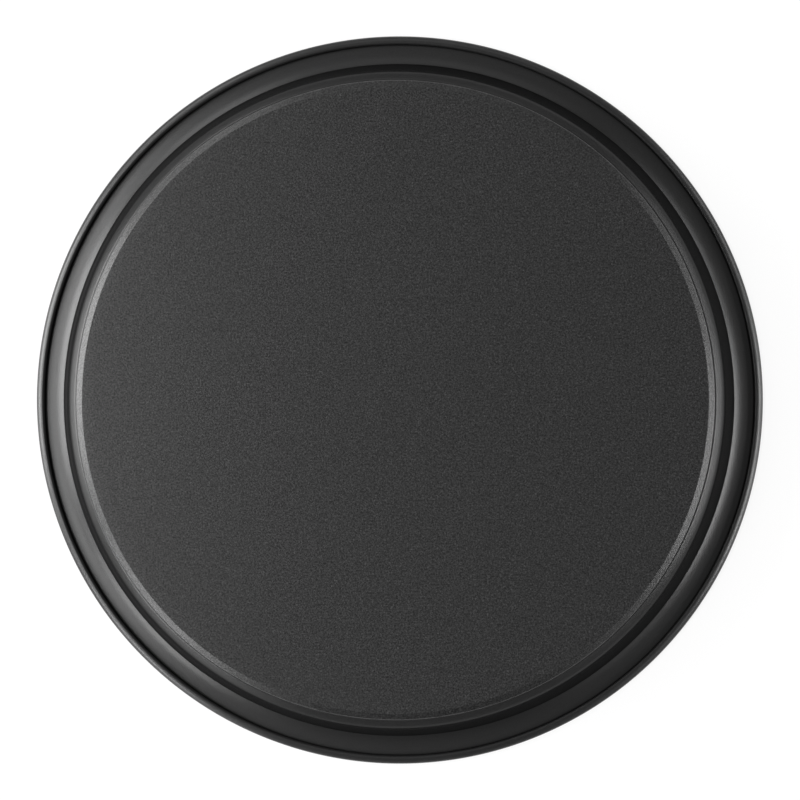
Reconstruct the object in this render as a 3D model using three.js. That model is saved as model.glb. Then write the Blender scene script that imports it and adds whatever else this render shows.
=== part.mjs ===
// Microwave crisper pan: a pressed aluminium dish with a microwave-absorbing rubber disc bonded to its base.
// It lies face down on its rim, as it is put away, so the absorber is on top.
// Millimetres, +Z up. The origin is the centre of the circle on which the rim rests.

import * as THREE from "three";

// Driving dimensions of the pressed shell
const RIM_DIAMETER = 305; // over the rolled edge
const PAN_HEIGHT = 24; // from the rim's resting face to the outside of the base
const SHEET = 1; // thickness of the aluminium
const FOLD_RADIUS = 0.15; // tight fold at the outside of the rim, on the inside of the bend
const ROLL_SLOPE = 45; // degrees that the rolled edge falls where it meets the fold
const ROLL_RADIUS = 4.4; // wide sweep of the rolled edge's top, on its outside
const CROWN_SLOPE = 14; // degrees that the rolled edge falls where its tight end begins
const CURL_RADIUS = 0.15; // tight end of the rolled edge, on the inside of the bend
const CURL_TURN = 135; // degrees that the tight end goes round
const FLANGE_LAND = 2.55; // flat ring on which the rim rests
const COVE_RADIUS = 17.2; // sweep of the flange towards the wall, on its outside
const COVE_SLOPE = 28; // degrees that the flange has risen where it meets the wall
const FOOT_RADIUS = 0.9; // tight bend between flange and wall, on its outside
const WALL_LEAN = 16; // degrees that the wall leans from upright
const SHOULDER_RADIUS = 5.5; // bend between wall and chamfer, on the cooking side
const CHAMFER_RUN = 1.6; // width of the chamfer round the base, seen from above
const CHAMFER_SLOPE = 34.5; // degrees that the chamfer falls
const CORNER_RADIUS = 0.6; // tight bend between chamfer and base, on the cooking side

// Driving dimensions of the absorber
const ABSORBER_THICKNESS = 2;
const EDGE_RUN = 2.9; // width of the disc's bevelled edge, seen from above
const EDGE_SLOPE = 26; // degrees that the bevel falls
const CREST_RADIUS = 0.8; // round between the disc's flat and the bevel
const BROW_RADIUS = 0.5; // round between the bevel and the upright foot of the edge

// Smoothness of the round surfaces
const FLATS_ROUND = 72; // flats in one turn about the axis
const BEND_ERROR = 0.03; // how far the facets of a bend may lie from its true arc
const ROUND_STEPS = 4; // steps in each round of the disc's edge
const SAME_POINT = 0.001; // points of an outline closer than this are one

// Turns in degrees
const QUARTER_TURN = 90;
const HALF_TURN = 180;

// Values worked out from the driving dimensions
const halfSheet = SHEET / 2;
const rimRadius = RIM_DIAMETER / 2;
const baseMiddle = PAN_HEIGHT - halfSheet;
const wallSlope = QUARTER_TURN - WALL_LEAN;

// The unit vector that leaves the sheet on the absorber's side,
// where the sheet rises towards the axis at the given slope in degrees.
function leaving(slope) {
  const radians = THREE.MathUtils.degToRad(slope);
  return new THREE.Vector2(Math.sin(radians), Math.cos(radians));
}

// A bend turns the sheet from one slope to another about a centre.
// Its reach is the distance from that centre to the middle of the sheet,
// negative where the centre lies on the absorber's side.
function bendFrom(start, reach, from, to) {
  const centre = start.clone().addScaledVector(leaving(from), -reach);
  return { centre, reach, from, to };
}

// The same, but from the point where the bend ends.
function bendUpTo(end, reach, from, to) {
  const centre = end.clone().addScaledVector(leaving(to), -reach);
  return { centre, reach, from, to };
}

function middleAt(bend, slope) {
  return bend.centre.clone().addScaledVector(leaving(slope), bend.reach);
}

// The middle of the sheet, as bends from its rolled end inwards. Straight stretches join them.
// The rolled edge turns back in a tight fold, sweeps over its top and ends in a tight curl.
function shellBends() {
  const foldReach = -(FOLD_RADIUS + halfSheet);
  const foldFrom = ROLL_SLOPE - HALF_TURN;
  const foldEnd = new THREE.Vector2(rimRadius - FOLD_RADIUS - SHEET, halfSheet);
  const fold = bendUpTo(foldEnd, foldReach, foldFrom, 0);
  const rollFrom = CROWN_SLOPE - HALF_TURN;
  const roll = bendUpTo(middleAt(fold, foldFrom), halfSheet - ROLL_RADIUS, rollFrom, foldFrom);
  const curlFrom = rollFrom - CURL_TURN;
  const curl = bendUpTo(middleAt(roll, rollFrom), -(CURL_RADIUS + halfSheet), curlFrom, rollFrom);

  const coveStart = foldEnd.clone().sub(new THREE.Vector2(FLANGE_LAND, 0));
  const cove = bendFrom(coveStart, -(COVE_RADIUS + halfSheet), 0, COVE_SLOPE);
  const foot = bendFrom(middleAt(cove, COVE_SLOPE), -(FOOT_RADIUS + halfSheet), COVE_SLOPE, wallSlope);

  const wallStart = middleAt(foot, wallSlope);
  const shoulderReach = SHOULDER_RADIUS + halfSheet;
  const cornerReach = CORNER_RADIUS + halfSheet;
  const shoulderRise = shoulderReach * (leaving(CHAMFER_SLOPE).y - leaving(wallSlope).y);
  const chamferRise = CHAMFER_RUN * Math.tan(THREE.MathUtils.degToRad(CHAMFER_SLOPE));
  const cornerRise = cornerReach * (1 - leaving(CHAMFER_SLOPE).y);
  const wallRise = baseMiddle - cornerRise - chamferRise - shoulderRise - wallStart.y;
  const wallRun = wallRise * Math.tan(THREE.MathUtils.degToRad(WALL_LEAN));
  const wallEnd = wallStart.clone().add(new THREE.Vector2(-wallRun, wallRise));
  const shoulder = bendFrom(wallEnd, shoulderReach, wallSlope, CHAMFER_SLOPE);
  const chamferEnd = middleAt(shoulder, CHAMFER_SLOPE).add(new THREE.Vector2(-CHAMFER_RUN, chamferRise));
  const corner = bendFrom(chamferEnd, cornerReach, CHAMFER_SLOPE, 0);
  return [curl, roll, fold, cove, foot, shoulder, corner];
}

// The number of facets that keeps the outer arc of a bend true.
function facetsOf(bend) {
  const outerRadius = Math.abs(bend.reach) + halfSheet;
  const facetTurn = 2 * Math.acos(1 - BEND_ERROR / outerRadius);
  const turn = THREE.MathUtils.degToRad(Math.abs(bend.to - bend.from));
  return Math.ceil(turn / facetTurn);
}

// The points of one face of the sheet, at the given distance from its middle, from the rolled end inwards.
// A point that ends one bend and starts the next is taken once.
function sheetFace(bends, distance) {
  const points = bends.flatMap((bend) => {
    const steps = facetsOf(bend);
    return Array.from({ length: steps + 1 }, (_, step) => {
      const slope = THREE.MathUtils.lerp(bend.from, bend.to, step / steps);
      return bend.centre.clone().addScaledVector(leaving(slope), bend.reach + distance);
    });
  });
  return points.filter((point, index) => index === 0 || point.distanceTo(points[index - 1]) > SAME_POINT);
}

// A solid of revolution about Z, from a profile of (radius, height) that starts and ends on the axis.
function turned(profile) {
  return new THREE.LatheGeometry(profile, FLATS_ROUND).rotateX(Math.PI / 2);
}

// The dish: the cooking face from the axis to the rim, then the outer face back to the axis.
function panShell(bends) {
  const profile = [
    new THREE.Vector2(0, baseMiddle - halfSheet),
    ...sheetFace(bends, -halfSheet).reverse(),
    ...sheetFace(bends, halfSheet),
    new THREE.Vector2(0, PAN_HEIGHT),
  ];
  const coat = new THREE.MeshStandardMaterial({ color: 0x303031, roughness: 0.42, metalness: 0.1 });
  const mesh = new THREE.Mesh(turned(profile), coat);
  mesh.name = "pan_shell";
  return mesh;
}

// The points of a round of the disc's edge, about a centre and from one slope to another.
function roundPoints(centre, radius, from, to) {
  return Array.from({ length: ROUND_STEPS + 1 }, (_, step) => {
    const slope = THREE.MathUtils.lerp(from, to, step / ROUND_STEPS);
    return centre.clone().addScaledVector(leaving(slope), radius);
  });
}

// The absorber: a disc that covers the flat of the base, with a bevelled and rounded edge.
function absorberDisc(bends) {
  const radius = bends.at(-1).centre.x;
  const crestCentre = new THREE.Vector2(radius - EDGE_RUN, ABSORBER_THICKNESS - CREST_RADIUS);
  const crest = roundPoints(crestCentre, CREST_RADIUS, EDGE_SLOPE, 0);

  const bevelTop = crest[0];
  const bevelEndRadius = radius - BROW_RADIUS + BROW_RADIUS * leaving(EDGE_SLOPE).x;
  const bevelFall = (bevelEndRadius - bevelTop.x) * Math.tan(THREE.MathUtils.degToRad(EDGE_SLOPE));
  const browHeight = bevelTop.y - bevelFall - BROW_RADIUS * leaving(EDGE_SLOPE).y;
  const browCentre = new THREE.Vector2(radius - BROW_RADIUS, browHeight);
  const brow = roundPoints(browCentre, BROW_RADIUS, QUARTER_TURN, EDGE_SLOPE);

  const profile = [
    new THREE.Vector2(0, 0),
    new THREE.Vector2(radius, 0),
    ...brow,
    ...crest,
    new THREE.Vector2(0, ABSORBER_THICKNESS),
  ];
  const rubber = new THREE.MeshStandardMaterial({ color: 0x3a3a3b, roughness: 0.55, metalness: 0 });
  const mesh = new THREE.Mesh(turned(profile), rubber);
  mesh.name = "absorber_disc";
  mesh.position.z = PAN_HEIGHT;
  return mesh;
}

const bends = shellBends();
const crisperPan = new THREE.Group();
crisperPan.add(panShell(bends), absorberDisc(bends));

export default crisperPan;
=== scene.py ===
"""Finished surfaces of a microwave crisper pan that lies face down on its rim.

The pan is one pressed sheet of coated aluminium with a rolled edge. A disc of microwave-absorbing
rubber is bonded to the outside of its base. Both are surfaces of revolution about Z, in metres.
"""

import math

import bpy
import numpy as np
from bpy.props import FloatProperty, FloatVectorProperty, IntProperty, PointerProperty
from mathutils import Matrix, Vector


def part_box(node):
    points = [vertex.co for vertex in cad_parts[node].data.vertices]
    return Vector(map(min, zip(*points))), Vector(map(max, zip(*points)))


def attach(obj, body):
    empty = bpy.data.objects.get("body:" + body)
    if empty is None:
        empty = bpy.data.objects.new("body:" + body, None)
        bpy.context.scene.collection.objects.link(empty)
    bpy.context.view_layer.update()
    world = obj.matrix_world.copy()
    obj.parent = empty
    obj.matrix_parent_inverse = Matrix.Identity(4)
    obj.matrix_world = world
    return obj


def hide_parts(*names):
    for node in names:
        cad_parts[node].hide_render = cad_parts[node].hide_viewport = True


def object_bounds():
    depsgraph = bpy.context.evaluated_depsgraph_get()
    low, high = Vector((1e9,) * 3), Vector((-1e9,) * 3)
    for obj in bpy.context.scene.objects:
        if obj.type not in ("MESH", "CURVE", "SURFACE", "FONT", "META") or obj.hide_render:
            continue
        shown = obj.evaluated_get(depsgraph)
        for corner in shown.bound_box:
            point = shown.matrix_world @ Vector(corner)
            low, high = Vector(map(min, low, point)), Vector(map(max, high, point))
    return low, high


bl_info = {
    "name": "Microwave crisper pan",
    "version": (1, 0, 0),
    "blender": (4, 5, 0),
    "location": "3D View > Sidebar > Crisper Pan",
    "description": "Makes the finished surfaces of a crisper pan, and a studio to see it in",
    "category": "Add Mesh",
}

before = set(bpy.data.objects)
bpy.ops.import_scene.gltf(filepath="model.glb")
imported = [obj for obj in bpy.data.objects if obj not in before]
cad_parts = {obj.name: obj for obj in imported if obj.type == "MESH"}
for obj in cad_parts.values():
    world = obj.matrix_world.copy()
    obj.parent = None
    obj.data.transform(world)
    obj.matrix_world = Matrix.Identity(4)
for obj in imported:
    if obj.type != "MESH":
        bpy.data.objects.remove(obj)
CAD_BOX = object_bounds()
_, SHELL_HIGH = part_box("pan_shell")
DISC_LOW, DISC_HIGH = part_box("absorber_disc")

BODY = "root"
# Attribute of the paler, glossier bands at the rim and the disc's edge: partly rubbing, partly
# painted highlight
WEAR_AND_HIGHLIGHT = "wear_and_highlight"
QUARTER_TURN = math.pi / 2
HALF_TURN = math.pi
FULL_TURN = 2 * math.pi

# Spacing of the points along the outlines, in metres and radians
FLAT_STEP = 0.006
EDGE_STEP = 0.0003
BEND_STEP = math.radians(6)
ROUNDING = 1e-6  # share of a step that a stretch may be too long

SHARP_FROM = math.radians(50)  # angle between faces from which an edge is shaded sharp
ROLLED_BENDS = 3  # bends of the sheet that make the rolled edge


# Settings that a user would change


class ShellSizes(bpy.types.PropertyGroup):
    """Sizes of the pressed shell, as its CAD node has them."""

    rim_radius: FloatProperty(
        name="Rim radius", description="From the axis to the outside of the rolled edge",
        default=SHELL_HIGH.x, min=0.05, unit="LENGTH")
    height: FloatProperty(
        name="Height", description="From the rim's resting face to the outside of the base",
        default=SHELL_HIGH.z, min=0.01, unit="LENGTH")
    sheet: FloatProperty(
        name="Sheet", description="Thickness of the aluminium",
        default=0.001, min=0.0005, unit="LENGTH")
    fold_radius: FloatProperty(
        name="Fold radius", description="Tight fold at the outside of the rim, on its inner side",
        default=0.00015, min=0.00005, unit="LENGTH")
    roll_slope: FloatProperty(
        name="Roll slope", description="Fall of the rolled edge where it meets the fold",
        default=math.radians(45), min=0, max=math.radians(90), subtype="ANGLE")
    roll_radius: FloatProperty(
        name="Roll radius", description="Wide sweep of the rolled edge's top, on its outside",
        default=0.0044, min=0.001, unit="LENGTH")
    crown_slope: FloatProperty(
        name="Crown slope", description="Fall of the rolled edge where its tight end begins",
        default=math.radians(14), min=0, max=math.radians(45), subtype="ANGLE")
    curl_radius: FloatProperty(
        name="Curl radius", description="Tight end of the rolled edge, on its inner side",
        default=0.00015, min=0.00005, unit="LENGTH")
    curl_turn: FloatProperty(
        name="Curl turn", description="How far the tight end goes round",
        default=math.radians(135), min=0, max=math.radians(150), subtype="ANGLE")
    land: FloatProperty(
        name="Land", description="Width of the flat ring on which the rim rests",
        default=0.00255, min=0, unit="LENGTH")
    cove_radius: FloatProperty(
        name="Cove radius", description="Sweep of the flange towards the wall, on its outside",
        default=0.0172, min=0.001, unit="LENGTH")
    cove_slope: FloatProperty(
        name="Cove slope", description="Slope of the flange where it meets the wall",
        default=math.radians(28), min=0, max=math.radians(60), subtype="ANGLE")
    foot_radius: FloatProperty(
        name="Foot radius", description="Tight bend between flange and wall, on its outside",
        default=0.0009, min=0.0001, unit="LENGTH")
    wall_lean: FloatProperty(
        name="Wall lean", description="How far the wall leans from upright",
        default=math.radians(16), min=0, max=math.radians(45), subtype="ANGLE")
    shoulder_radius: FloatProperty(
        name="Shoulder radius", description="Bend between wall and chamfer, on the cooking side",
        default=0.0055, min=0.0005, unit="LENGTH")
    chamfer_run: FloatProperty(
        name="Chamfer run", description="Width of the chamfer round the base, seen from above",
        default=0.0016, min=0, unit="LENGTH")
    corner_radius: FloatProperty(
        name="Corner radius", description="Tight bend of chamfer to base, on the cooking side",
        default=0.0006, min=0.0001, unit="LENGTH")
    chamfer_slope: FloatProperty(
        name="Chamfer slope", description="Fall of the chamfer",
        default=math.radians(34.5), min=0, max=math.radians(60), subtype="ANGLE")
    around: IntProperty(
        name="Steps round", description="Points in one turn about the axis", default=360, min=24)


class DiscSizes(bpy.types.PropertyGroup):
    """Sizes of the absorber disc, as its CAD node has them."""

    radius: FloatProperty(
        name="Radius", description="From the axis to the upright foot of the edge",
        default=DISC_HIGH.x, min=0.05, unit="LENGTH")
    bottom: FloatProperty(
        name="Bottom", description="Height of the face that is bonded to the base",
        default=DISC_LOW.z, unit="LENGTH")
    thickness: FloatProperty(
        name="Thickness", description="Thickness of the rubber",
        default=DISC_HIGH.z - DISC_LOW.z, min=0.0005, unit="LENGTH")
    edge_run: FloatProperty(
        name="Edge run", description="Width of the bevelled edge, seen from above",
        default=0.0029, min=0.0001, unit="LENGTH")
    edge_slope: FloatProperty(
        name="Edge slope", description="Fall of the bevel",
        default=math.radians(26), min=0, max=math.radians(60), subtype="ANGLE")
    crest_radius: FloatProperty(
        name="Crest radius", description="Round between the flat and the bevel",
        default=0.0008, min=0.0001, unit="LENGTH")
    brow_radius: FloatProperty(
        name="Brow radius", description="Round between the bevel and the upright foot",
        default=0.0005, min=0.0001, unit="LENGTH")
    around: IntProperty(
        name="Steps round", description="Points in one turn about the axis", default=360, min=24)


class Finishes(bpy.types.PropertyGroup):
    """Colours of the pan's surfaces and of the floor."""

    coat: FloatVectorProperty(
        name="Coat", description="Heat-proof paint on the outside",
        default=(0.0095, 0.0095, 0.0096), min=0, max=1, subtype="COLOR")
    lining: FloatVectorProperty(
        name="Lining", description="Non-stick coat on the cooking side",
        default=(0.007, 0.007, 0.0072), min=0, max=1, subtype="COLOR")
    rubber: FloatVectorProperty(
        name="Rubber", description="Ferrite-filled rubber of the absorber",
        default=(0.0075, 0.0075, 0.0076), min=0, max=1, subtype="COLOR")
    # The two rubbed colours below are paler bands at the rim and at the absorber's edge: partly
    # rubbing, partly painted highlight
    worn_and_highlit_coat: FloatVectorProperty(
        name="Worn and highlit coat", description="Paint rubbed thin, and a painted highlight, on the rolled edge",
        default=(0.02, 0.02, 0.0203), min=0, max=1, subtype="COLOR")
    worn_and_highlit_rubber: FloatVectorProperty(
        name="Worn and highlit rubber", description="Rubber rubbed pale, and a painted highlight line, at the edge of the absorber",
        default=(0.06, 0.06, 0.0605), min=0, max=1, subtype="COLOR")
    floor: FloatVectorProperty(
        name="Floor", description="Pale floor of the studio",
        default=(0.85, 0.85, 0.85), min=0, max=1, subtype="COLOR")


class StudioSizes(bpy.types.PropertyGroup):
    """Places of the camera and of the lamps."""

    view_distance: FloatProperty(
        name="View distance", description="From the camera to its aim",
        default=0.9, min=0.3, unit="LENGTH")
    view_lean: FloatProperty(
        name="View lean", description="How far the camera stands from the pan's axis, towards +X",
        default=math.radians(3.4), subtype="ANGLE")
    view_aim: FloatProperty(
        name="View aim", description="How far towards +X the camera's aim lies from the axis",
        default=0.0015, unit="LENGTH")
    view_width: FloatProperty(
        name="View width", description="Width of the picture at the camera's aim",
        default=0.3359, min=0.05, unit="LENGTH")
    lamp_distance: FloatProperty(
        name="Lamp distance", description="From each lamp to the pan",
        default=1.2, min=0.3, unit="LENGTH")
    floor_width: FloatProperty(
        name="Floor width", description="Width of the square floor",
        default=12, min=1, unit="LENGTH")


# Outlines and surfaces


def leaving(slope):
    """Unit vectors (sin slope, cos slope) that leave the sheet on the absorber's side."""
    return np.stack((np.sin(slope), np.cos(slope)), axis=-1)


class Bend:
    """A round bend of the sheet about a centre, from one slope to another.

    A point of the sheet's middle is centre + reach * leaving(slope). The reach is negative where
    the centre lies on the absorber's side.
    """

    def __init__(self, centre, reach, start, stop):
        self.centre = np.asarray(centre)
        self.reach = reach
        self.slopes = np.linspace(start, stop, 2 + int(abs(stop - start) / BEND_STEP))

    @classmethod
    def onward(cls, point, reach, start, stop):
        """A bend that starts at a point of the sheet's middle."""
        return cls(point - reach * leaving(start), reach, start, stop)

    @classmethod
    def upto(cls, point, reach, start, stop):
        """A bend that stops at a point of the sheet's middle."""
        return cls(point - reach * leaving(stop), reach, start, stop)

    def face(self, offset):
        """Points at an offset from the middle: centre + (reach + offset) * leaving(slope)."""
        return self.centre + (self.reach + offset) * leaving(self.slopes)

    def begin(self):
        """The first point of the middle."""
        return self.face(0)[0]

    def end(self):
        """The last point of the middle."""
        return self.face(0)[-1]


def shell_bends(sizes):
    """The bends of the sheet from its rolled end inwards, those of the rolled edge first."""
    half = sizes.sheet / 2
    fold_start = sizes.roll_slope - HALF_TURN
    roll_start = sizes.crown_slope - HALF_TURN
    fold_outside = sizes.fold_radius + sizes.sheet
    fold_centre = (sizes.rim_radius - fold_outside, fold_outside)
    fold = Bend(fold_centre, half - fold_outside, fold_start, 0)
    roll = Bend.upto(fold.begin(), half - sizes.roll_radius, roll_start, fold_start)
    curl_start = roll_start - sizes.curl_turn
    curl = Bend.upto(roll.begin(), -sizes.curl_radius - half, curl_start, roll_start)
    cove_start = fold.end() - (sizes.land, 0)
    cove = Bend.onward(cove_start, -sizes.cove_radius - half, 0, sizes.cove_slope)
    wall_slope = QUARTER_TURN - sizes.wall_lean
    foot = Bend.onward(cove.end(), -sizes.foot_radius - half, sizes.cove_slope, wall_slope)
    shoulder_reach = sizes.shoulder_radius + half
    corner_reach = sizes.corner_radius + half
    slope = sizes.chamfer_slope
    shoulder_rise = shoulder_reach * (math.cos(slope) - math.cos(wall_slope))
    chamfer_rise = sizes.chamfer_run * math.tan(slope)
    corner_rise = corner_reach * (1 - math.cos(slope))
    wall_rise = sizes.height - half - corner_rise - chamfer_rise - shoulder_rise - foot.end()[1]
    wall_end = foot.end() + (-wall_rise * math.tan(sizes.wall_lean), wall_rise)
    shoulder = Bend.onward(wall_end, shoulder_reach, wall_slope, slope)
    corner_start = shoulder.end() + (-sizes.chamfer_run, chamfer_rise)
    corner = Bend.onward(corner_start, corner_reach, slope, 0)
    return [curl, roll, fold, cove, foot, shoulder, corner]


def stepped(outline, longest=FLAT_STEP):
    """Splits each stretch of an outline into equal steps, and drops stretches of no length."""
    stretch = np.diff(outline, axis=0)
    count = np.ceil(np.hypot(*stretch.T) / longest - ROUNDING).astype(int)
    which = np.repeat(np.arange(len(stretch)), count)
    step = np.arange(len(which)) - np.repeat(np.cumsum(count) - count, count)
    split = outline[which] + stretch[which] * (step / count[which])[:, None]
    return np.vstack((split, outline[-1:]))


def shell_outlines(sizes):
    """Two outlines (radius, height) that meet where the rolled edge begins.

    The first runs over the cooking face from the axis to the rim. The second runs round the rolled
    edge, over its cut end and back over the outer face to the axis.
    """
    half = sizes.sheet / 2
    bends = shell_bends(sizes)
    rolled, inner_bends = bends[:ROLLED_BENDS], bends[ROLLED_BENDS:]
    lower = np.vstack([bend.face(-half) for bend in inner_bends])[::-1]
    upper = np.vstack([bend.face(half) for bend in inner_bends])
    skin = np.vstack([bend.face(-half) for bend in rolled])[::-1]
    inside = np.vstack([bend.face(half) for bend in rolled])
    cooking = np.vstack(([(0, sizes.height - sizes.sheet)], lower, skin[:1]))
    outside = np.vstack((skin, inside, upper, [(0, sizes.height)]))
    return stepped(cooking), stepped(outside)


def disc_outline(sizes):
    """Outline of the disc: flat bottom, upright foot, a round, a bevel, a round and a flat top.

    A point of a round is centre + radius * leaving(slope). The bevel touches both rounds.
    """
    slope = sizes.edge_slope
    top = sizes.bottom + sizes.thickness
    turn = np.linspace(slope, 0, 2 + int(slope / BEND_STEP))
    crest_centre = (sizes.radius - sizes.edge_run, top - sizes.crest_radius)
    crest = crest_centre + sizes.crest_radius * leaving(turn)
    turn = np.linspace(QUARTER_TURN, slope, 2 + int((QUARTER_TURN - slope) / BEND_STEP))
    brow = (sizes.radius - sizes.brow_radius, 0) + sizes.brow_radius * leaving(turn)
    bevel_fall = (brow[-1, 0] - crest[0, 0]) * math.tan(slope)
    brow[:, 1] += crest[0, 1] - bevel_fall - brow[-1, 1]
    flat = [(0, sizes.bottom), (sizes.radius, sizes.bottom)]
    edge = stepped(np.vstack((brow, crest)), EDGE_STEP)
    return stepped(np.vstack((flat, edge, [(0, top)])))


def turned(name, outline, around):
    """A closed surface of revolution as a new object.

    A point (radius, height) of the outline is carried to (radius cos t, radius sin t, height) for
    each t round the axis. The outline's two ends lie on the axis and become single points.
    """
    turn = np.arange(around) * FULL_TURN / around
    radius, height = outline[1:-1].T
    rings = np.stack((
        np.outer(radius, np.cos(turn)),
        np.outer(radius, np.sin(turn)),
        np.repeat(height[:, None], around, axis=1),
    ), axis=-1)
    poles = [(0, 0, outline[0, 1]), (0, 0, outline[-1, 1])]
    points = np.vstack((rings.reshape(-1, 3), poles))

    here = np.arange(around)
    after = np.roll(here, -1)
    row = np.arange(len(radius) - 1)[:, None] * around
    quads = np.stack((row + here, row + after, row + around + after, row + around + here), axis=-1)
    last = (len(radius) - 1) * around
    first_pole, last_pole = np.full((2, around), len(points) - 1) - [[1], [0]]
    fans = np.vstack((
        np.column_stack((first_pole, after, here)),
        np.column_stack((last_pole, last + here, last + after)),
    ))

    mesh = bpy.data.meshes.new(name)
    mesh.from_pydata(points.tolist(), [], quads.reshape(-1, 4).tolist() + fans.tolist())
    mesh.shade_smooth()
    mesh.set_sharp_from_angle(angle=SHARP_FROM)
    piece = bpy.data.objects.new(name, mesh)
    bpy.context.scene.collection.objects.link(piece)
    return piece


def wear_and_highlight_edge(piece, outline, around, radius, reach):
    """Gives each point its share of the paler, glossier band: partly rubbing, partly painted
    highlight.

    It is 1 at a radius of the outer face, and less by distance over reach. Only the side that
    faces up gets it, which is where the outline runs towards the axis.
    """
    inward = np.gradient(outline[:, 0]) < 0
    wear_and_highlight = np.clip(1 - np.abs(outline[:, 0] - radius) / reach, 0, 1) * inward
    values = np.concatenate((np.repeat(wear_and_highlight[1:-1], around), wear_and_highlight[[0, -1]]))
    attribute = piece.data.attributes.new(WEAR_AND_HIGHLIGHT, "FLOAT", "POINT")
    attribute.data.foreach_set("value", values.astype(np.float32))


def faces_by_ring(ring_values, around):
    """One value for each face of a turned surface, from one for each stretch of its outline."""
    values = np.asarray(ring_values)
    return np.concatenate((np.repeat(values[1:-1], around), np.repeat(values[[0, -1]], around)))


# Materials

# Sizes of grain, specks, clouds and patches of the paler bands that are partly rubbing and partly
# painted highlight, in metres
RUBBER_GRAIN = 0.0007
COAT_GRAIN = 0.0005
SPECK = 0.0006
CLOUD = 0.04
WORN_AND_HIGHLIT_PATCH = 0.006

# Depth of the relief that the grain gives, in metres
RUBBER_RELIEF = 0.00006
COAT_RELIEF = 0.00003
LINING_RELIEF = 0.000006

# Low and high ends of what the noise is carried to
NOISE_SPAN = (0.3, 0.7)  # where most of the noise lies
CLOUD_SHADE = (0.96, 1.04)
WORN_AND_HIGHLIT_SHARE = (0.3, 1.0)
RUBBER_SHADE = (0.4, 1.6)
RUBBER_ROUGHNESS = (0.33, 0.41)
RUBBER_GLOSS = (0.36, 0.72)
COAT_SHADE = (0.7, 1.3)
COAT_ROUGHNESS = (0.3, 0.35)
LINING_SHADE = (0.9, 1.1)
LINING_FLECK = (0.9, 1.3)
LINING_ROUGHNESS = (0.32, 0.38)

# Specks of filler: the noise at which they begin and are whole, and how much they lighten
SPECK_SPAN = (0.64, 0.76)
SPECK_SHADE = 2.0

# Gloss of the coats, what the rim's band adds to it, and both where the coat is seen edge on;
# the added gloss brightens the rim's highlight, partly as rubbing and partly as painted highlight
LINING_GLOSS = 0.5
COAT_GLOSS = 0.46
WORN_AND_HIGHLIGHT_GLOSS = 0.4
EDGE_ON_GLOSS = 0.001
WORN_AND_HIGHLIGHT_EDGE_ON_GLOSS = 0.85

# Edge-on share at which the gloss begins to fade and has faded, for an even blend
FADE_SPAN = (0.25, 0.5)
EVEN_BLEND = 0.5

# Sockets of a Mix node for colours
MIX_SHARE, MIX_FIRST, MIX_SECOND, MIX_RESULT = 0, 6, 7, 2

WHITE = (1.0, 1.0, 1.0, 1.0)
WHITE_SHARE = 0.85  # share of the floor that shows plain white

# Strength of the world's light at the horizon and overhead
FILL_LOW = 0.06
FILL_HIGH = 0.32


def place(tree, kind, inputs=None, **options):
    """Adds a node, sets its options and the values of its input sockets, and returns it."""
    node = tree.nodes.new(kind)
    for option, value in options.items():
        setattr(node, option, value)
    for socket, value in (inputs or {}).items():
        if isinstance(value, bpy.types.NodeSocket):
            tree.links.new(value, node.inputs[socket])
        else:
            node.inputs[socket].default_value = value
    return node


def new_material(name):
    """An empty node material with its output, and its node tree."""
    material = bpy.data.materials.new(name)
    material.use_nodes = True
    material.node_tree.nodes.clear()
    return material, material.node_tree


def carried(tree, value, span, low=0.0, high=1.0):
    """A value carried from a span to the range from low to high."""
    ends = {"From Min": span[0], "From Max": span[1], "To Min": low, "To Max": high}
    return place(tree, "ShaderNodeMapRange", {"Value": value, **ends}).outputs["Result"]


def ranged(tree, value, ends):
    """A noise value carried to the range between two ends."""
    return carried(tree, value, NOISE_SPAN, *ends)


def noise(tree, size, detail=2.0, roughness=0.5):
    """Noise on Object coordinates whose blobs have the given size in metres."""
    where = place(tree, "ShaderNodeTexCoord").outputs["Object"]
    return place(
        tree, "ShaderNodeTexNoise",
        {"Vector": where, "Scale": 1 / size, "Detail": detail, "Roughness": roughness},
    ).outputs["Fac"]


def product(tree, first, second):
    """Two values multiplied."""
    return place(tree, "ShaderNodeMath", {0: first, 1: second}, operation="MULTIPLY").outputs[0]


def shaded(tree, colour, shade):
    """A colour made darker or lighter by a value."""
    scaled = place(
        tree, "ShaderNodeVectorMath", {0: tuple(colour), "Scale": shade}, operation="SCALE")
    return scaled.outputs["Vector"]


def specks(tree, size):
    """1 in small rare specks, and 0 elsewhere."""
    return carried(tree, noise(tree, size, detail=0.0), SPECK_SPAN)


def wear_and_highlight_of(tree):
    """The piece's share of the paler band, partly rubbing and partly painted highlight, at each
    point.
    """
    return place(tree, "ShaderNodeAttribute", attribute_name=WEAR_AND_HIGHLIGHT).outputs["Fac"]


def raised(tree, value, factor, base):
    """A value times a factor, on top of a base."""
    terms = {0: value, 1: factor, 2: base}
    return place(tree, "ShaderNodeMath", terms, operation="MULTIPLY_ADD").outputs[0]


def edge_worn_and_highlit(tree, colour, worn_and_highlit):
    """A colour that gives way in patches to a paler one, as far as the attribute goes: partly
    rubbing, partly painted highlight.
    """
    share = product(tree, wear_and_highlight_of(tree), ranged(tree, noise(tree, WORN_AND_HIGHLIT_PATCH), WORN_AND_HIGHLIT_SHARE))
    colours = {MIX_SHARE: share, MIX_FIRST: colour, MIX_SECOND: (*worn_and_highlit, 1.0)}
    return place(tree, "ShaderNodeMix", colours, data_type="RGBA").outputs[MIX_RESULT]


def fading_gloss(tree, gloss, edge_on):
    """A gloss that gives way to another where the surface is seen edge on."""
    facing = place(tree, "ShaderNodeLayerWeight", {"Blend": EVEN_BLEND}).outputs["Facing"]
    return carried(tree, facing, FADE_SPAN, gloss, edge_on)


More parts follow.
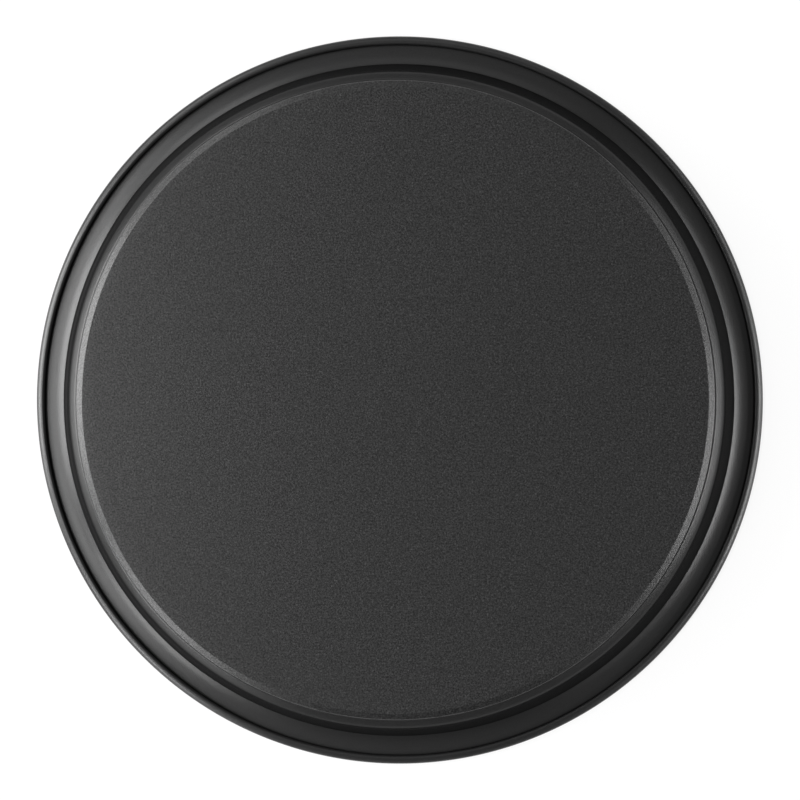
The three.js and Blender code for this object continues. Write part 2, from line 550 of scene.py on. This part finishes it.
def finished(tree, colour, roughness, height, depth, gloss):
    """The surface shader with its colour, roughness, relief and gloss, joined to the output."""
    relief = place(
        tree, "ShaderNodeBump", {"Height": height, "Strength": 1.0, "Distance": depth})
    shader = place(tree, "ShaderNodeBsdfPrincipled", {
        "Base Color": colour,
        "Roughness": roughness,
        "Specular IOR Level": gloss,
        "Normal": relief.outputs["Normal"],
    })
    place(tree, "ShaderNodeOutputMaterial", {"Surface": shader.outputs["BSDF"]})


def rubber_material(finishes):
    """Ferrite-filled rubber: a fine matt grain, faint clouds and small pale specks of filler."""
    material, tree = new_material("absorber_rubber")
    grain = noise(tree, RUBBER_GRAIN, detail=2.0, roughness=0.6)
    cloud = noise(tree, CLOUD, detail=3.0)
    shade = product(tree, ranged(tree, grain, RUBBER_SHADE), ranged(tree, cloud, CLOUD_SHADE))
    speckled = raised(tree, specks(tree, SPECK), SPECK_SHADE, shade)
    # The absorber's pale rubbed rim also paints the thin highlight line round its edge
    colour = edge_worn_and_highlit(tree, shaded(tree, finishes.rubber, speckled), finishes.worn_and_highlit_rubber)
    gloss = ranged(tree, grain, RUBBER_GLOSS)
    finished(tree, colour, ranged(tree, grain, RUBBER_ROUGHNESS), grain, RUBBER_RELIEF, gloss)
    return material


def coat_material(finishes):
    """Baked satin paint on the outside of the shell, with a faint orange peel.

    Its shine fades where it is seen edge on, but not on the rolled edge, whose paler colour and
    raised gloss are partly rubbing and partly a painted highlight.
    """
    material, tree = new_material("satin_coat")
    grain = noise(tree, COAT_GRAIN, detail=2.0)
    cloud = noise(tree, CLOUD, detail=2.0)
    shade = product(tree, ranged(tree, grain, COAT_SHADE), ranged(tree, cloud, CLOUD_SHADE))
    # The rim's band gets a paler colour, more gloss, and keeps its gloss edge on: partly rubbing,
    # partly painted highlight
    colour = edge_worn_and_highlit(tree, shaded(tree, finishes.coat, shade), finishes.worn_and_highlit_coat)
    wear_and_highlight = wear_and_highlight_of(tree)
    plain = raised(tree, wear_and_highlight, WORN_AND_HIGHLIGHT_GLOSS, COAT_GLOSS)
    edge_on = raised(tree, wear_and_highlight, WORN_AND_HIGHLIGHT_EDGE_ON_GLOSS, EDGE_ON_GLOSS)
    gloss = fading_gloss(tree, plain, edge_on)
    finished(tree, colour, ranged(tree, grain, COAT_ROUGHNESS), grain, COAT_RELIEF, gloss)
    return material


def lining_material(finishes):
    """Non-stick coat of the cooking side: smoother and darker, with a fine fleck."""
    material, tree = new_material("non_stick_lining")
    grain = noise(tree, COAT_GRAIN, detail=2.0)
    fleck = noise(tree, RUBBER_GRAIN, detail=0.0)
    shade = product(tree, ranged(tree, grain, LINING_SHADE), ranged(tree, fleck, LINING_FLECK))
    colour = shaded(tree, finishes.lining, shade)
    roughness = ranged(tree, grain, LINING_ROUGHNESS)
    finished(tree, colour, roughness, grain, LINING_RELIEF, LINING_GLOSS)
    return material


def seen_directly(tree):
    """1 for rays of the camera, of reflections and of glass, and 0 for rays that light things."""
    path = place(tree, "ShaderNodeLightPath")
    total = place(
        tree, "ShaderNodeMath",
        {0: path.outputs["Is Camera Ray"], 1: path.outputs["Is Glossy Ray"]}, operation="ADD")
    return place(
        tree, "ShaderNodeMath",
        {0: total.outputs[0], 1: path.outputs["Is Transmission Ray"]},
        operation="ADD", use_clamp=True).outputs[0]


def floor_material(finishes):
    """A pale floor that shows white, with a share of its own shading to keep the shadow."""
    material, tree = new_material("pale_floor")
    lit = place(tree, "ShaderNodeBsdfDiffuse", {"Color": (*finishes.floor, 1.0)}).outputs["BSDF"]
    glow = {"Color": WHITE, "Strength": 1.0}
    white = place(tree, "ShaderNodeEmission", glow).outputs["Emission"]
    pale = place(tree, "ShaderNodeMixShader", {"Fac": WHITE_SHARE, 1: lit, 2: white}).outputs[0]
    shown = place(
        tree, "ShaderNodeMixShader", {"Fac": seen_directly(tree), 1: lit, 2: pale}).outputs[0]
    place(tree, "ShaderNodeOutputMaterial", {"Surface": shown})
    return material


def studio_world():
    """A plain grey world that lights the pan a little, and more from overhead."""
    world = bpy.data.worlds.new("studio_world")
    world.use_nodes = True
    tree = world.node_tree
    tree.nodes.clear()
    where = place(tree, "ShaderNodeTexCoord").outputs["Generated"]
    upward = place(tree, "ShaderNodeSeparateXYZ", {0: where}).outputs["Z"]
    grade = place(
        tree, "ShaderNodeMapRange", {"Value": upward, "To Min": FILL_LOW, "To Max": FILL_HIGH},
        interpolation_type="SMOOTHSTEP").outputs["Result"]
    fill = place(tree, "ShaderNodeBackground", {"Color": WHITE, "Strength": grade})
    place(tree, "ShaderNodeOutputWorld", {"Surface": fill.outputs["Background"]})
    return world


# Studio

FLOOR_GAP = 0.0002  # how far the floor lies below the rim, so that they don't coincide

# Each lamp: its name, its azimuth from +X and its height above the horizon in degrees, its width
# and its depth in metres, and its power in watts
LAMPS = (
    ("left_softbox", 172, 26, 0.80, 0.42, 13.4),
    ("front_left_softbox", 219, 26, 0.50, 0.28, 4.8),
    ("back_left_softbox", 128, 26, 0.50, 0.35, 2.2),
    ("upper_left_softbox", 180, 53, 1.20, 0.40, 8.5),
    ("low_left_softbox", 180, 8, 0.90, 0.30, 3.0),
    ("low_front_left_softbox", 228, 8, 0.60, 0.30, 1.1),
    ("right_softbox", -10, 27, 0.80, 0.20, 7.0),
    ("low_right_softbox", -5, 8, 0.80, 0.30, 1.6),
    ("front_right_softbox", -45, 27, 0.50, 0.25, 0.4),
    ("back_softbox", 85, 30, 0.80, 0.40, 0.7),
    ("back_right_softbox", 28, 24, 0.50, 0.30, 1.7),
)


def add_lamp(name, azimuth, height, width, depth, power, distance):
    """A soft lamp at a distance from the pan, facing it."""
    data = bpy.data.lights.new(name, "AREA")
    data.shape = "RECTANGLE"
    data.size = depth
    data.size_y = width
    data.energy = power
    lamp = bpy.data.objects.new(name, data)
    bpy.context.scene.collection.objects.link(lamp)
    around, up = math.radians(azimuth), math.radians(height)
    lamp.location = (
        distance * math.cos(up) * math.cos(around),
        distance * math.cos(up) * math.sin(around),
        distance * math.sin(up),
    )
    lamp.rotation_euler = (0, QUARTER_TURN - up, around)


def add_camera(studio):
    """The camera above the pan, leaning towards +X, with +Y up in the picture."""
    data = bpy.data.cameras.new("camera")
    data.lens = data.sensor_width * studio.view_distance / studio.view_width
    camera = bpy.data.objects.new("camera", data)
    bpy.context.scene.collection.objects.link(camera)
    camera.location = (
        studio.view_aim + studio.view_distance * math.sin(studio.view_lean),
        0,
        studio.view_distance * math.cos(studio.view_lean),
    )
    camera.rotation_euler = (0, studio.view_lean, 0)
    bpy.context.scene.camera = camera


def add_floor(studio, finishes):
    """A square floor just under the rim."""
    half = studio.floor_width / 2
    level = CAD_BOX[0].z - FLOOR_GAP
    square = [(-half, -half), (half, -half), (half, half), (-half, half)]
    mesh = bpy.data.meshes.new("floor")
    mesh.from_pydata([(*corner, level) for corner in square], [], [range(len(square))])
    mesh.materials.append(floor_material(finishes))
    floor = bpy.data.objects.new("floor", mesh)
    bpy.context.scene.collection.objects.link(floor)


# Operators


class CRISPER_OT_shell(bpy.types.Operator):
    """Make the pressed shell with its rolled edge, painted outside and non-stick inside"""

    bl_idname = "crisper.shell"
    bl_label = "Make shell"

    def execute(self, context):
        scene = context.scene
        sizes = scene.crisper_shell
        cooking, outside = shell_outlines(sizes)
        outline = np.vstack((cooking, outside[1:]))
        shell = turned("shell", outline, sizes.around)
        # Width of the rim's paler band, partly rubbing and partly painted highlight
        worn_and_highlit_width = 2 * sizes.sheet
        wear_and_highlight_edge(shell, outline, sizes.around, sizes.rim_radius, worn_and_highlit_width)
        shell.data.materials.append(lining_material(scene.crisper_finishes))
        shell.data.materials.append(coat_material(scene.crisper_finishes))
        stretch = np.arange(len(outline) - 1)
        slots = faces_by_ring((stretch >= len(cooking) - 1).astype(np.int32), sizes.around)
        shell.data.polygons.foreach_set("material_index", slots)
        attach(shell, BODY)
        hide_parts("pan_shell")
        return {"FINISHED"}


class CRISPER_OT_absorber(bpy.types.Operator):
    """Make the absorber disc that is bonded to the base"""

    bl_idname = "crisper.absorber"
    bl_label = "Make absorber"

    def execute(self, context):
        scene = context.scene
        sizes = scene.crisper_disc
        outline = disc_outline(sizes)
        disc = turned("absorber", outline, sizes.around)
        # Paler rim round the disc's edge: partly rubbing, partly the painted thin highlight line
        wear_and_highlight_edge(disc, outline, sizes.around, sizes.radius, sizes.brow_radius)
        disc.data.materials.append(rubber_material(scene.crisper_finishes))
        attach(disc, BODY)
        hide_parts("absorber_disc")
        return {"FINISHED"}


class CRISPER_OT_stage(bpy.types.Operator):
    """Set the floor, the lamps, the world and the camera"""

    bl_idname = "crisper.stage"
    bl_label = "Set stage"

    def execute(self, context):
        scene = context.scene
        studio = scene.crisper_studio
        add_floor(studio, scene.crisper_finishes)
        for lamp in LAMPS:
            add_lamp(*lamp, studio.lamp_distance)
        scene.world = studio_world()
        add_camera(studio)
        scene.view_settings.view_transform = "Standard"
        return {"FINISHED"}


class CRISPER_PT_panel(bpy.types.Panel):
    """Buttons that make the pan and its studio"""

    bl_label = "Crisper Pan"
    bl_idname = "CRISPER_PT_panel"
    bl_space_type = "VIEW_3D"
    bl_region_type = "UI"
    bl_category = "Crisper Pan"

    def draw(self, context):
        for operator in OPERATORS:
            self.layout.operator(operator.bl_idname)


OPERATORS = (CRISPER_OT_shell, CRISPER_OT_absorber, CRISPER_OT_stage)
SETTINGS = {
    "crisper_shell": ShellSizes,
    "crisper_disc": DiscSizes,
    "crisper_finishes": Finishes,
    "crisper_studio": StudioSizes,
}
CLASSES = (*SETTINGS.values(), *OPERATORS, CRISPER_PT_panel)


def register():
    """Registers the classes and hangs the settings on the scene."""
    for cls in CLASSES:
        bpy.utils.register_class(cls)
    for name, group in SETTINGS.items():
        setattr(bpy.types.Scene, name, PointerProperty(type=group))


def unregister():
    """Takes the settings and the classes away again."""
    for name in SETTINGS:
        delattr(bpy.types.Scene, name)
    for cls in reversed(CLASSES):
        bpy.utils.unregister_class(cls)


def main():
    """Makes the pan and its studio."""
    register()
    bpy.ops.crisper.shell()
    bpy.ops.crisper.absorber()
    bpy.ops.crisper.stage()


if __name__ == "__main__":
    main()
